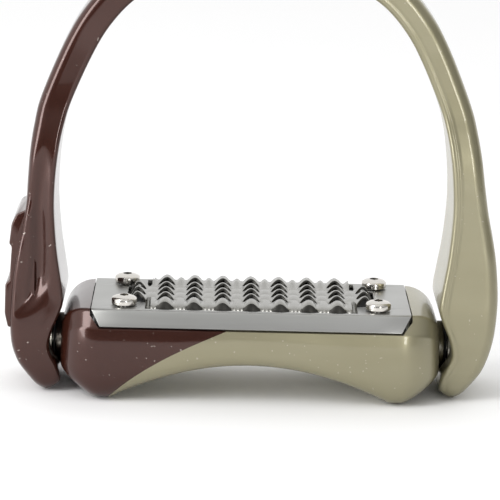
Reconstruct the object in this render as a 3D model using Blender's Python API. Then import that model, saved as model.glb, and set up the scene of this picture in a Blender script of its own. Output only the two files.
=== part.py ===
"""Jointed stirrup iron: a one-piece arch and a foot tread that tilts on two rubber bushes.

Metres, +Z up, X across the tread, Y along the horse, standing on the tread's feet.
"""
import math

import bmesh
import bpy
from mathutils import Matrix, Vector

# Overall sizes
TREAD_LENGTH = 0.120
TREAD_DEPTH = 0.050
OVERALL_HEIGHT = 0.162
PIVOT_HEIGHT = 0.0144

# Fits
FIT_GAP = 0.0003
RUNNING_GAP = 0.0004
OVERCUT = 0.0030

# Tread body
BODY_TOP = 0.0291
DECK_HEIGHT = 0.0237
ARCH_RISE = 0.0122
FOOT_INSET_INNER = 0.0160
FOOT_INSET_OUTER = 0.0120
END_FACE_HALF_DEPTH = 0.0120
END_FACE_BOTTOM = 0.0085
END_FACE_TOP = 0.0195
END_ROUNDING = 0.0100
END_SQUARENESS = 2.3
END_FLARE = 1.3
FLANGE_LEAN = 0.0034
POCKET_HALF_LENGTH = 0.0320
POCKET_HALF_DEPTH = 0.0135
POCKET_FLOOR = 0.0042
POCKET_CORNER = 0.0040

# Cover tray, rasp plate and rubber pad
TRAY_TOP = 0.0292
TRAY_THICKNESS = 0.0012
TRAY_END_MARGIN = 0.0098
TRAY_EDGE_MARGIN = 0.0046
TRAY_MITRE = 0.0030
SHEET_THICKNESS = 0.0009
SHEET_END_MARGIN = 0.0030
SHEET_EDGE_MARGIN = 0.0016
RIDGE_HEIGHT = 0.0041
RIDGE_WIDTH = 0.0056
RIDGE_PITCH = 0.00905
RIDGE_COUNT = 9
GAP_RISE = 0.0020
GAP_DOME = 0.0003
END_WALL_DEPTH = 0.0010
SLOT_LENGTH = 0.0041
SLOT_PITCH = 0.0067
SLOT_COUNT = 4
WINDOW_FRAME = 0.0015
WINDOW_END_HALF_DEPTH = 0.0104

# Plate screws and their thread inserts
SCREW_SPAN_X = 0.0800
SCREW_SPAN_Y = 0.0284
SCREW_RADIUS = 0.0020
SCREW_HEAD_RADIUS = 0.0040
SCREW_HEAD_HEIGHT = 0.0031
SCREW_LENGTH = 0.0110
SCREW_SOCKET_RADIUS = 0.0014
SCREW_SOCKET_DEPTH = 0.0017
SCREW_TIP_EDGE = 0.0004
INSERT_WALL = 0.0010
INSERT_LENGTH = 0.0070
INSERT_CLEARANCE = 0.0011

# Bushes between the tread and the arch
SLEEVE_RADIUS = 0.0080
SLEEVE_WALL = 0.0008
SLEEVE_LENGTH = 0.0190
SLEEVE_FLANGE = 0.0014
BUSH_INSET = 0.0010
CORE_RADIUS = 0.0043
CORE_BORE = 0.0028
SEAL_STEP = 0.0008
SEAL_WIDTH = 0.0005
WASHER_WIDTH = 0.0013
BOLT_RADIUS = 0.0025
BOLT_HEAD_RADIUS = 0.0045
BOLT_HEAD_HEIGHT = 0.0024
BOLT_HEAD_EDGE = 0.0006
BOLT_TIP_INSET = 0.0040
BOLT_TIP_EDGE = 0.0005
BOLT_SOCKET_DEPTH = 0.0018
BOLT_SOCKET_RADIUS = 0.0023
LOCK_WASHER_RADIUS = 0.0048
LOCK_WASHER_WIDTH = 0.0010
HUB_WALL = 0.0042

# Arch
HUB_WIDTH = 0.0130
HUB_HALF_DEPTH = 0.0170
ARM_HALF_DEPTH = 0.0090
ARM_EDGE = 0.0030
CORNER_STEPS = 3
SPOT_FACE_GAP = 0.0007
EYE_HEIGHT = 0.0260
EYE_SLOT_WIDTH = 0.0280
EYE_SLOT_HEIGHT = 0.0080
EYE_BAR = 0.0080
EYE_CORNER = 0.0022
BADGE_HALF_DEPTH = 0.0125

HALF_LENGTH = TREAD_LENGTH / 2
HALF_DEPTH = TREAD_DEPTH / 2
SEAL_RADIUS = SLEEVE_RADIUS - SEAL_STEP
WASHER_RADIUS = SLEEVE_RADIUS
FLANGE_TOP = HALF_LENGTH + FIT_GAP
SEAL_START = FLANGE_TOP + SLEEVE_FLANGE + RUNNING_GAP
WASHER_START = SEAL_START + SEAL_WIDTH + RUNNING_GAP
HUB_FACE = WASHER_START + WASHER_WIDTH + FIT_GAP
HUB_SEAT = HUB_FACE + HUB_WALL
HUB_OUTSIDE = HUB_FACE + HUB_WIDTH
TRAY_HALF_LENGTH = HALF_LENGTH - TRAY_END_MARGIN
TRAY_HALF_DEPTH = HALF_DEPTH - TRAY_EDGE_MARGIN
SHEET_TOP = TRAY_TOP - TRAY_THICKNESS - FIT_GAP
PAD_TOP = SHEET_TOP - SHEET_THICKNESS - FIT_GAP
PAD_BOTTOM = DECK_HEIGHT + FIT_GAP
END_RIDGE_HALF_DEPTH = WINDOW_END_HALF_DEPTH - 2 * FIT_GAP
SHEET_HALF_LENGTH = TRAY_HALF_LENGTH - SHEET_END_MARGIN
SHEET_HALF_DEPTH = TRAY_HALF_DEPTH - SHEET_EDGE_MARGIN
INSERT_RADIUS = SCREW_RADIUS + FIT_GAP + INSERT_WALL
SIDES = (("left", -1.0), ("right", 1.0))
GAP = "gap"
MARGIN = "margin"
TREAD_PIECES = ("tread_body", "cover_tray", "rasp_plate", "rubber_pad", "plate_screw",
                "thread_insert", "bush_outer_sleeve", "rubber_bush", "seal_ring")

BROWN_PAINT = (0.075, 0.035, 0.028)
CHAMPAGNE_PAINT = (0.36, 0.31, 0.22)
STEEL = (0.62, 0.61, 0.59)
BLACK_RUBBER = (0.015, 0.015, 0.016)
ZINC = (0.50, 0.47, 0.38)


def clear_scene():
    for old in list(bpy.data.objects):
        bpy.data.objects.remove(old, do_unlink=True)


def material(name, colour, roughness, metallic):
    made = bpy.data.materials.new(name)
    made.use_nodes = True
    shader = made.node_tree.nodes["Principled BSDF"]
    shader.inputs["Base Color"].default_value = (*colour, 1.0)
    shader.inputs["Roughness"].default_value = roughness
    shader.inputs["Metallic"].default_value = metallic
    return made


def finish(name, shape, look, smooth=35.0):
    """Turn a bmesh into a named object with its material, shaded smooth up to an angle."""
    bmesh.ops.recalc_face_normals(shape, faces=shape.faces)
    mesh = bpy.data.meshes.new(name)
    shape.to_mesh(mesh)
    shape.free()
    mesh.shade_smooth()
    mesh.set_sharp_from_angle(angle=math.radians(smooth))
    made = bpy.data.objects.new(name, mesh)
    bpy.context.scene.collection.objects.link(made)
    if look is not None:
        mesh.materials.append(material(f"{name}_surface", *look))
    return made


def loft(rings):
    """Join rings of equal point count into one closed skin with flat ends."""
    shape = bmesh.new()
    loops = [[shape.verts.new(point) for point in ring] for ring in rings]
    for near, far in zip(loops, loops[1:]):
        for index in range(len(near)):
            following = (index + 1) % len(near)
            shape.faces.new((near[index], near[following], far[following], far[index]))
    shape.faces.new(loops[0])
    shape.faces.new(loops[-1])
    return shape


def turned(profile, place, side, segments=32):
    """Turn (distance along the axis, radius) points about an axis along X."""
    shape = bmesh.new()
    points = [shape.verts.new((side * along, 0.0, radius)) for along, radius in profile]
    edges = [shape.edges.new(pair) for pair in zip(points, points[1:])]
    if profile[0][1] > 0.0:
        edges.append(shape.edges.new((points[-1], points[0])))
    bmesh.ops.spin(shape, geom=points + edges, cent=(0, 0, 0), axis=(1, 0, 0),
                   angle=2 * math.pi, steps=segments)
    bmesh.ops.remove_doubles(shape, verts=shape.verts, dist=0.00001)
    bmesh.ops.translate(shape, verts=shape.verts, vec=place)
    return shape


def upright(shape, place):
    """Stand a shape turned about X on its end, at a place."""
    bmesh.ops.rotate(shape, verts=shape.verts, cent=(0, 0, 0),
                     matrix=Matrix.Rotation(-math.pi / 2, 3, "Y"))
    bmesh.ops.translate(shape, verts=shape.verts, vec=place)
    return shape


def ring_profile(start, end, outer, inner, bevel=0.0):
    return [(start, inner), (start, outer - bevel), (start + bevel, outer),
            (end - bevel, outer), (end, outer - bevel), (end, inner)]


def cutter(name, shape):
    made = finish(name, shape, None)
    made.hide_render = True
    made.display_type = "WIRE"
    return made


def box_shape(low, high):
    shape = bmesh.new()
    bmesh.ops.create_cube(shape, size=1.0)
    size = Vector(high) - Vector(low)
    bmesh.ops.scale(shape, verts=shape.verts, vec=size)
    bmesh.ops.translate(shape, verts=shape.verts, vec=Vector(low) + size / 2)
    return shape


def cut(target, tool, operation="DIFFERENCE"):
    step = target.modifiers.new(f"{operation.lower()}_{tool.name}", "BOOLEAN")
    step.operation = operation
    step.object = tool
    step.solver = "EXACT"


def pivot_cylinder(name, side, start, end, radius, segments=32):
    place = (0.0, 0.0, PIVOT_HEIGHT)
    profile = [(start, 0.0), (start, radius), (end, radius), (end, 0.0)]
    return cutter(name, turned(profile, place, side, segments))


def screw_places():
    """Name and place of each plate screw."""
    for end, across in (("left", -1.0), ("right", 1.0)):
        for row, along in (("front", -1.0), ("rear", 1.0)):
            yield f"{row}_{end}", across * SCREW_SPAN_X / 2, along * SCREW_SPAN_Y / 2


def screw_hole(target, name, x, y, low, high, radius):
    profile = [(low, 0.0), (low, radius), (high, radius), (high, 0.0)]
    tool = upright(turned(profile, (0, 0, 0), 1.0, 20), (x, y, 0.0))
    cut(target, cutter(name, tool))


# ---------------------------------------------------------------- tread body
def body_bottom(x):
    """Underside height: an arch between the feet, flat feet, then a rising end."""
    foot_inner = HALF_LENGTH - FOOT_INSET_INNER
    foot_outer = HALF_LENGTH - FOOT_INSET_OUTER
    if x <= foot_inner:
        return ARCH_RISE * (1 - (x / foot_inner) ** 2)
    if x <= foot_outer:
        return 0.0
    return END_FACE_BOTTOM * ((x - foot_outer) / FOOT_INSET_OUTER) ** END_FLARE


def body_top(x):
    start = HALF_LENGTH - END_ROUNDING + 0.0004
    if x <= start:
        return BODY_TOP
    share = min(1.0, (x - start) / (HALF_LENGTH - start))
    fall = (1 - share ** END_SQUARENESS) ** (1 / END_SQUARENESS)
    return END_FACE_TOP + (BODY_TOP - END_FACE_TOP) * fall


def body_half_depth(x):
    corner = HALF_DEPTH - END_FACE_HALF_DEPTH
    start = HALF_LENGTH - corner
    if x <= start:
        return HALF_DEPTH
    share = min(1.0, (x - start) / corner)
    return END_FACE_HALF_DEPTH + corner * math.sqrt(1 - share ** 2)


def body_ring(x):
    """One cross-section of the tread body, counter-clockwise seen from +X."""
    low = body_bottom(abs(x))
    top = body_top(abs(x))
    deep = body_half_depth(abs(x))
    flush_drop = min(BODY_TOP - DECK_HEIGHT, 0.27 * (top - low))
    widest_drop = min(0.0105, 0.48 * (top - low))
    flush = deep * (TRAY_HALF_DEPTH + FLANGE_LEAN + TRAY_THICKNESS * 0.3) / HALF_DEPTH
    corner = min(0.0085, (top - widest_drop - low) * 0.96, deep * 0.42)
    half = []
    for step in range(6):
        turn = math.radians(90 * step / 5)
        half.append((deep - corner + corner * math.sin(turn), low + corner * (1 - math.cos(turn))))
    half.append((deep, top - widest_drop))
    half.append((flush, top - flush_drop))
    half.append((deep * TRAY_HALF_DEPTH / HALF_DEPTH, top))
    mirrored = [(-y, z) for y, z in reversed(half)]
    return [(x, y, z) for y, z in half + mirrored]


def body_stations():
    end_steps = [0.0, 0.0004, 0.0014, 0.0030, 0.0052, 0.0080, 0.0096, FOOT_INSET_OUTER, 0.0130,
                 FOOT_INSET_INNER]
    half = [HALF_LENGTH - step for step in end_steps]
    inner = half[-1]
    half += [inner * share for share in (0.84, 0.67, 0.5, 0.33, 0.16)]
    return [-x for x in half] + [0.0] + [x for x in reversed(half)]


def tread_body():
    body = finish("tread_body", loft([body_ring(x) for x in body_stations()]),
                  (CHAMPAGNE_PAINT, 0.3, 0.6))
    cut(body, cutter("recess_cutter", recess_shape()))
    pocket = box_shape((-POCKET_HALF_LENGTH, -POCKET_HALF_DEPTH, ARCH_RISE + POCKET_FLOOR),
                       (POCKET_HALF_LENGTH, POCKET_HALF_DEPTH, BODY_TOP))
    uprights = [e for e in pocket.edges if abs(e.verts[0].co.z - e.verts[1].co.z) > FIT_GAP]
    bmesh.ops.bevel(pocket, geom=uprights, offset=POCKET_CORNER, segments=4, affect="EDGES")
    cut(body, cutter("pocket_cutter", pocket))
    bore = SLEEVE_RADIUS + FIT_GAP
    depth = SLEEVE_LENGTH + FIT_GAP
    for side_name, side in SIDES:
        cut(body, pivot_cylinder(f"bore_cutter_{side_name}", side, HALF_LENGTH - depth,
                                 HALF_LENGTH + OVERCUT, bore))
    floor = DECK_HEIGHT - INSERT_LENGTH - INSERT_CLEARANCE
    for name, x, y in screw_places():
        screw_hole(body, f"insert_cutter_{name}", x, y, floor, BODY_TOP, INSERT_RADIUS + FIT_GAP)
    return body


def recess_shape():
    """The space that the cover tray fills: a mitred eight-sided prism, a gap larger all round."""
    reach = TRAY_HALF_LENGTH + FIT_GAP
    quarter = ((reach, TRAY_HALF_DEPTH),
               (reach - 2 * TRAY_MITRE, TRAY_HALF_DEPTH + 2 * FLANGE_LEAN))
    outline = [*quarter, *((-x, y) for x, y in reversed(quarter))]
    outline += [(-x, -y) for x, y in outline]
    return loft([[(x, y, z) for x, y in outline] for z in (DECK_HEIGHT, BODY_TOP + OVERCUT)])


# ------------------------------------------------- tray, rasp plate and pad
def window_lines():
    """X and Y lines of the tray's top, and the half sizes of its window."""
    ridge_reach = RIDGE_PITCH * (RIDGE_COUNT - 1) / 2
    full = ridge_reach - RIDGE_WIDTH / 2
    end = ridge_reach + RIDGE_WIDTH / 2 + WINDOW_FRAME / 4
    deep = TRAY_HALF_DEPTH - WINDOW_FRAME
    return full, end, deep


def cover_tray():
    full, end, deep = window_lines()
    across = [-TRAY_HALF_LENGTH, -end, -full, full, end, TRAY_HALF_LENGTH]
    along = [-TRAY_HALF_DEPTH, -deep, -WINDOW_END_HALF_DEPTH, WINDOW_END_HALF_DEPTH, deep,
             TRAY_HALF_DEPTH]
    shape = bmesh.new()
    grid = [[shape.verts.new((x, y, TRAY_TOP)) for y in along] for x in across]
    last = len(across) - 1
    for i in range(last):
        for j in range(last):
            middle = i == 2 and 1 <= j <= 3
            ends = i in (1, 3) and j == 2
            if not (middle or ends):
                shape.faces.new((grid[i][j], grid[i + 1][j], grid[i + 1][j + 1], grid[i][j + 1]))
    lean_angle = math.atan2(FLANGE_LEAN, TRAY_TOP - DECK_HEIGHT)
    flange_bottom = DECK_HEIGHT + FIT_GAP + TRAY_THICKNESS * math.sin(lean_angle)
    for j, lean in ((0, -1.0), (last, 1.0)):
        lower = []
        for i, x in enumerate(across):
            edge = TRAY_HALF_LENGTH - TRAY_MITRE
            place = max(-edge, min(edge, x))
            lower.append(shape.verts.new((place, along[j] + lean * FLANGE_LEAN, flange_bottom)))
        for i in range(last):
            shape.faces.new((grid[i][j], grid[i + 1][j], lower[i + 1], lower[i]))
    tray = finish("cover_tray", shape, (STEEL, 0.3, 1.0))
    wall = tray.modifiers.new("sheet", "SOLIDIFY")
    wall.thickness = TRAY_THICKNESS
    wall.offset = -1.0
    wall.use_even_offset = True
    for name, x, y in screw_places():
        screw_hole(tray, f"tray_cutter_{name}", x, y, PAD_TOP, TRAY_TOP + OVERCUT,
                   SCREW_RADIUS + FIT_GAP)
    return tray


def ridge_lines():
    """X lines of the rasp plate as (place, height share, ridge number or zone)."""
    shares = ((-0.5, 0.0), (-0.36, 0.5), (-0.2, 0.88), (0.0, 1.0), (0.2, 0.88), (0.36, 0.5),
              (0.5, 0.0))
    lines = [(-SHEET_HALF_LENGTH, 0.0, MARGIN)]
    first = -RIDGE_PITCH * (RIDGE_COUNT - 1) / 2
    for number in range(RIDGE_COUNT):
        centre = first + number * RIDGE_PITCH
        lines += [(centre + share * RIDGE_WIDTH, height, number) for share, height in shares]
        if number < RIDGE_COUNT - 1:
            lines.append((centre + RIDGE_PITCH / 2, 0.0, GAP))
    return lines + [(SHEET_HALF_LENGTH, 0.0, MARGIN)]


def slot_lines():
    """Y lines of the rasp plate as (place, number of the opening that follows)."""
    wall = SHEET_HALF_DEPTH - END_WALL_DEPTH
    lines = [(-SHEET_HALF_DEPTH, None), (-wall, None)]
    first = -SLOT_PITCH * (SLOT_COUNT - 1) / 2
    for number in range(SLOT_COUNT):
        centre = first + number * SLOT_PITCH
        lines.append((centre - SLOT_LENGTH / 2, number))
        if number in (0, SLOT_COUNT - 1):
            lines.append((math.copysign(END_RIDGE_HALF_DEPTH, centre), number))
        lines.append((centre + SLOT_LENGTH / 2, None))
    return lines + [(wall, None), (SHEET_HALF_DEPTH, None)]


def rasp_height(x_line, y):
    """Rise of the sheet: full ridges, short ones at the ends, a raised sheet between them."""
    place, share, zone = x_line
    end_ridge = zone in (0, RIDGE_COUNT - 1)
    if zone == MARGIN or abs(y) > SHEET_HALF_DEPTH - FIT_GAP:
        return 0.0
    if end_ridge and abs(y) > END_RIDGE_HALF_DEPTH - FIT_GAP:
        return 0.0
    if zone == GAP:
        return GAP_RISE + GAP_DOME
    outward = abs(place) > RIDGE_PITCH * (RIDGE_COUNT - 1) / 2
    foot = 0.0 if outward else GAP_RISE
    return foot + (RIDGE_HEIGHT - foot) * share


def rasp_plate():
    across = ridge_lines()
    along = slot_lines()
    shape = bmesh.new()

    def level(bottom):
        drop = SHEET_THICKNESS if bottom else 0.0
        return [[shape.verts.new((line[0], y, SHEET_TOP - drop + rasp_height(line, y)))
                 for y, _ in along] for line in across]

    upper = level(False)
    lower = level(True)
    kept = set()
    for i in range(len(across) - 1):
        same_ridge = across[i][2] == across[i + 1][2]
        for j in range(len(along) - 1):
            slot = along[j][1]
            end_ridge = across[i][2] in (0, RIDGE_COUNT - 1)
            open_here = same_ridge and slot is not None
            if open_here and end_ridge and slot in (0, SLOT_COUNT - 1):
                open_here = False
            if not open_here:
                kept.add((i, j))
    for i, j in kept:
        for sheet in (upper, lower):
            shape.faces.new((sheet[i][j], sheet[i + 1][j], sheet[i + 1][j + 1], sheet[i][j + 1]))
        sides = (((i, j), (i + 1, j), (i, j - 1)), ((i, j + 1), (i + 1, j + 1), (i, j + 1)),
                 ((i, j), (i, j + 1), (i - 1, j)), ((i + 1, j), (i + 1, j + 1), (i + 1, j)))
        for start, stop, neighbour in sides:
            if neighbour not in kept:
                shape.faces.new((upper[start[0]][start[1]], upper[stop[0]][stop[1]],
                                 lower[stop[0]][stop[1]], lower[start[0]][start[1]]))
    loose = [vert for vert in shape.verts if not vert.link_faces]
    bmesh.ops.delete(shape, geom=loose, context="VERTS")
    plate = finish("rasp_plate", shape, (STEEL, 0.28, 1.0), smooth=50.0)
    for name, x, y in screw_places():
        screw_hole(plate, f"plate_cutter_{name}", x, y, PAD_BOTTOM, TRAY_TOP,
                   SCREW_RADIUS + FIT_GAP)
    return plate


def rubber_pad():
    shape = box_shape((-SHEET_HALF_LENGTH, -SHEET_HALF_DEPTH, PAD_BOTTOM),
                      (SHEET_HALF_LENGTH, SHEET_HALF_DEPTH, PAD_TOP))
    pad = finish("rubber_pad", shape, (BLACK_RUBBER, 0.8, 0.0))
    for name, x, y in screw_places():
        screw_hole(pad, f"pad_cutter_{name}", x, y, PAD_BOTTOM - OVERCUT, PAD_TOP + OVERCUT,
                   SCREW_RADIUS + FIT_GAP)
    return pad


# ------------------------------------------------------------------ fasteners
def socket_shape(x, y, low, high, radius):
    shape = bmesh.new()
    bmesh.ops.create_cone(shape, cap_ends=True, segments=6, radius1=radius, radius2=radius,
                          depth=high - low)
    bmesh.ops.translate(shape, verts=shape.verts, vec=(x, y, (low + high) / 2))
    return shape


def plate_screw(name, x, y):
    seat = TRAY_TOP + FIT_GAP
    edge = seat + SCREW_HEAD_HEIGHT * 0.5
    tip = seat - SCREW_LENGTH
    profile = [(tip, 0.0), (tip, SCREW_RADIUS - SCREW_TIP_EDGE),
               (tip + SCREW_TIP_EDGE, SCREW_RADIUS), (seat, SCREW_RADIUS),
               (seat, SCREW_HEAD_RADIUS), (edge, SCREW_HEAD_RADIUS)]
    for step in range(1, 5):
        turn = math.radians(90 * step / 4)
        profile.append((edge + SCREW_HEAD_HEIGHT * 0.5 * math.sin(turn),
                        SCREW_HEAD_RADIUS * math.cos(turn) if step < 4 else 0.0))
    screw = finish(f"plate_screw_{name}", upright(turned(profile, (0, 0, 0), 1.0, 24), (x, y, 0.0)),
                   (STEEL, 0.2, 1.0))
    head_top = seat + SCREW_HEAD_HEIGHT
    tool = socket_shape(x, y, head_top - SCREW_SOCKET_DEPTH, head_top + OVERCUT,
                        SCREW_SOCKET_RADIUS)
    cut(screw, cutter(f"socket_cutter_{name}", tool))


def thread_insert(name, x, y):
    top = DECK_HEIGHT - FIT_GAP
    profile = ring_profile(top - INSERT_LENGTH, top, INSERT_RADIUS, SCREW_RADIUS + FIT_GAP, 0.0003)
    finish(f"thread_insert_{name}", upright(turned(profile, (0, 0, 0), 1.0, 20), (x, y, 0.0)),
           (ZINC, 0.35, 1.0))


# ------------------------------------------------------------- pivot bushes
def bush_parts(side_name, side):
    """The turned pieces on the tilt axis, from the tread outwards to the bolt head."""
    place = (0.0, 0.0, PIVOT_HEIGHT)
    inner_end = HALF_LENGTH - SLEEVE_LENGTH
    sleeve_bore = SLEEVE_RADIUS - SLEEVE_WALL
    sleeve = [(inner_end, sleeve_bore), (inner_end, SLEEVE_RADIUS),
              (HALF_LENGTH - FIT_GAP, SLEEVE_RADIUS), (FLANGE_TOP, SLEEVE_RADIUS),
              (FLANGE_TOP + SLEEVE_FLANGE, SLEEVE_RADIUS), (FLANGE_TOP + SLEEVE_FLANGE, sleeve_bore)]
    bush_end = inner_end + BUSH_INSET
    rubber = ring_profile(bush_end, HALF_LENGTH, sleeve_bore - FIT_GAP,
                          CORE_RADIUS + RUNNING_GAP)
    core = ring_profile(bush_end, HUB_FACE - FIT_GAP, CORE_RADIUS, CORE_BORE)
    seal = ring_profile(SEAL_START, SEAL_START + SEAL_WIDTH, SEAL_RADIUS,
                        CORE_RADIUS + RUNNING_GAP)
    washer = ring_profile(WASHER_START, WASHER_START + WASHER_WIDTH, WASHER_RADIUS,
                          CORE_RADIUS + FIT_GAP, 0.0002)
    lock_start = HUB_SEAT + FIT_GAP
    lock = ring_profile(lock_start, lock_start + LOCK_WASHER_WIDTH, LOCK_WASHER_RADIUS,
                        BOLT_RADIUS + FIT_GAP)
    for name, profile, look in (
            ("bush_outer_sleeve", sleeve, (STEEL, 0.15, 1.0)),
            ("rubber_bush", rubber, (BLACK_RUBBER, 0.7, 0.0)),
            ("pivot_core", core, (STEEL, 0.25, 1.0)),
            ("seal_ring", seal, (BLACK_RUBBER, 0.6, 0.0)),
            ("clamp_washer", washer, (STEEL, 0.15, 1.0)),
            ("lock_washer", lock, (ZINC, 0.35, 1.0))):
        finish(f"{name}_{side_name}", turned(profile, place, side), look)
    pivot_bolt(side_name, side, lock_start + LOCK_WASHER_WIDTH + FIT_GAP)


def pivot_bolt(side_name, side, seat):
    place = (0.0, 0.0, PIVOT_HEIGHT)
    tip = HALF_LENGTH - SLEEVE_LENGTH + BOLT_TIP_INSET
    top = seat + BOLT_HEAD_HEIGHT
    profile = [(tip, 0.0), (tip, BOLT_RADIUS - BOLT_TIP_EDGE), (tip + BOLT_TIP_EDGE, BOLT_RADIUS),
               (seat, BOLT_RADIUS), (seat, BOLT_HEAD_RADIUS),
               (top - BOLT_HEAD_EDGE, BOLT_HEAD_RADIUS),
               (top, BOLT_HEAD_RADIUS - BOLT_HEAD_EDGE), (top, 0.0)]
    bolt = finish(f"pivot_bolt_{side_name}", turned(profile, place, side, 24), (STEEL, 0.22, 1.0))
    floor = top - BOLT_SOCKET_DEPTH
    mouth = top + OVERCUT
    tool = turned([(floor, 0.0), (floor, BOLT_SOCKET_RADIUS), (mouth, BOLT_SOCKET_RADIUS),
                   (mouth, 0.0)], place, side, 6)
    cut(bolt, cutter(f"bolt_socket_cutter_{side_name}", tool))


# ----------------------------------------------------------------------- arch
HUB_STATIONS = (
    # inner edge beyond hub face, height; outer edge beyond hub face, height; half depth share;
    # how far the left arm's outer side is set back to stand its badge out
    (-0.0029, 0.0016, 0.0006, 0.0004, 0.72, 0.0000),
    (-0.0046, 0.0040, 0.0031, 0.0020, 0.85, 0.0000),
    (-0.0038, 0.0087, 0.0062, 0.0060, 0.94, 0.0000),
    (-0.0012, 0.0144, 0.0090, 0.0102, 0.98, 0.0000),
    (-0.0019, 0.0200, 0.0110, 0.0156, 1.00, 0.0002),
    (-0.0041, 0.0255, 0.0123, 0.0215, 1.00, 0.0010),
    (-0.0054, 0.0300, 0.0129, 0.0280, 0.99, 0.0018),
    (-0.0047, 0.0365, 0.0130, 0.0350, 0.96, 0.0022),
)
ARM_STATIONS = (
    # as above, with heights as shares of the way from the hub's top to the crown
    (-0.0034, 0.085, 0.0121, 0.085, 0.93, 0.0026),
    (-0.0026, 0.165, 0.0108, 0.160, 0.90, 0.0028),
    (-0.0022, 0.245, 0.0091, 0.240, 0.88, 0.0024),
    (-0.0025, 0.330, 0.0077, 0.325, 0.86, 0.0015),
    (-0.0034, 0.415, 0.0065, 0.410, 0.81, 0.0009),
    (-0.0048, 0.490, 0.0049, 0.490, 0.71, 0.0004),
    (-0.0072, 0.570, 0.0024, 0.580, 0.60, 0.0000),
)
CROWN_STATIONS = (
    # shares of the shoulder's half width, and heights below the eye's foot and the eye's top
    (0.895, 0.0290, 0.894, 0.0508),
    (0.800, 0.0195, 0.800, 0.0399),
    (0.675, 0.0115, 0.669, 0.0302),
    (0.520, 0.0060, 0.507, 0.0232),
    (0.360, 0.0025, 0.391, 0.0150),
    (0.240, 0.0010, 0.336, 0.0066),
    (0.130, 0.0002, 0.269, 0.0012),
    (0.050, 0.0000, 0.120, 0.0000),
)


BADGE_OUTLINE = (
    # depth below the hub's outside, and height
    (0.0075, 0.0205), (0.0005, 0.0215), (0.0000, 0.0255), (0.0001, 0.0350), (0.0014, 0.0361),
    (0.0020, 0.0467), (0.0012, 0.0474), (0.0019, 0.0540), (0.0035, 0.0572), (0.0075, 0.0600),
)


def arch_stations(set_back):
    """Inner point, outer point and half depth of each section, from a hub to the crown."""
    crown = OVERALL_HEIGHT - EYE_HEIGHT
    hub_top = HUB_STATIONS[-1][1]
    rise = crown - hub_top
    sections = list(HUB_STATIONS)
    for inner, inner_share, outer, outer_share, deep, back in ARM_STATIONS:
        sections.append((inner, hub_top + rise * inner_share, outer, hub_top + rise * outer_share,
                         deep, back))
    stations = [(HUB_FACE + inner, inner_z, HUB_FACE + outer - set_back * back, outer_z,
                 HUB_HALF_DEPTH * deep) for inner, inner_z, outer, outer_z, deep, back in sections]
    shoulder = stations[-1]
    for inner, below_foot, outer, below_top in CROWN_STATIONS:
        stations.append((shoulder[0] * inner, crown - below_foot, shoulder[2] * outer,
                         OVERALL_HEIGHT - below_top, ARM_HALF_DEPTH))
    return stations


def smooth_between(stations, steps):
    """Points on a Catmull-Rom curve through the stations."""
    points = []
    for index in range(len(stations) - 1):
        around = [stations[max(0, min(len(stations) - 1, index + offset))]
                  for offset in (-1, 0, 1, 2)]
        for step in range(steps):
            t = step / steps
            points.append(tuple(
                0.5 * (2 * b + (c - a) * t + (2 * a - 5 * b + 4 * c - d) * t ** 2
                       + (3 * b - a - 3 * c + d) * t ** 3)
                for a, b, c, d in zip(*around)))
    return points + [stations[-1]]


def arch_ring(inner_x, inner_z, outer_x, outer_z, deep):
    """A rounded rectangle between the inner and outer edge of the arch."""
    inner = Vector((inner_x, 0.0, inner_z))
    outer = Vector((outer_x, 0.0, outer_z))
    thick = (outer - inner).length
    across = (outer - inner) / thick
    edge = min(ARM_EDGE, thick * 0.45)
    corners = ((thick - edge, 1.0, 90), (thick - edge, -1.0, 0), (edge, -1.0, -90),
               (edge, 1.0, 180))
    ring = []
    for centre, side, start in corners:
        for step in range(CORNER_STEPS + 1):
            angle = math.radians(start - 90 * step / CORNER_STEPS)
            point = inner + across * (centre + edge * math.cos(angle))
            ring.append((point.x, side * (deep - edge) + edge * math.sin(angle), point.z))
    return ring


def badge_shape():
    """A plain raised panel on the outer side of the left arm, with a shallow band across it."""
    outline = [(HUB_OUTSIDE - depth, height) for depth, height in BADGE_OUTLINE]
    return loft([[(-x, y, z) for x, z in outline] for y in (-BADGE_HALF_DEPTH, BADGE_HALF_DEPTH)])


def hub_bore_shape(side):
    """Spot face for the clamp washer, bolt hole and counterbore, in one stepped cutter."""
    spot = WASHER_RADIUS + SPOT_FACE_GAP
    hole = BOLT_RADIUS + FIT_GAP
    counterbore = LOCK_WASHER_RADIUS + FIT_GAP
    inside = HALF_LENGTH - OVERCUT
    outside = HUB_OUTSIDE + OVERCUT
    profile = [(inside, 0.0), (inside, spot), (HUB_FACE, spot), (HUB_FACE, hole),
               (HUB_SEAT, hole), (HUB_SEAT, counterbore), (outside, counterbore), (outside, 0.0)]
    return turned(profile, (0.0, 0.0, PIVOT_HEIGHT), side)


def arch_frame():
    right = [arch_ring(*station) for station in smooth_between(arch_stations(0.0), 2)]
    left = [arch_ring(*station) for station in reversed(smooth_between(arch_stations(1.0), 2))]
    left = [[(-x, y, z) for x, y, z in ring] for ring in left]
    arch = finish("arch_frame", loft(right + left), (BROWN_PAINT, 0.25, 0.4))
    slot_centre = OVERALL_HEIGHT - EYE_BAR - EYE_SLOT_HEIGHT / 2
    slot = box_shape((-EYE_SLOT_WIDTH / 2, -HUB_HALF_DEPTH, slot_centre - EYE_SLOT_HEIGHT / 2),
                     (EYE_SLOT_WIDTH / 2, HUB_HALF_DEPTH, slot_centre + EYE_SLOT_HEIGHT / 2))
    lengthways = [e for e in slot.edges if abs(e.verts[0].co.y - e.verts[1].co.y) > FIT_GAP]
    bmesh.ops.bevel(slot, geom=lengthways, offset=EYE_CORNER, segments=4, affect="EDGES")
    cut(arch, cutter("badge_tool", badge_shape()), "UNION")
    cut(arch, cutter("eye_cutter", slot))
    for side_name, side in SIDES:
        cut(arch, cutter(f"hub_cutter_{side_name}", hub_bore_shape(side)))
    return arch


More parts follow.
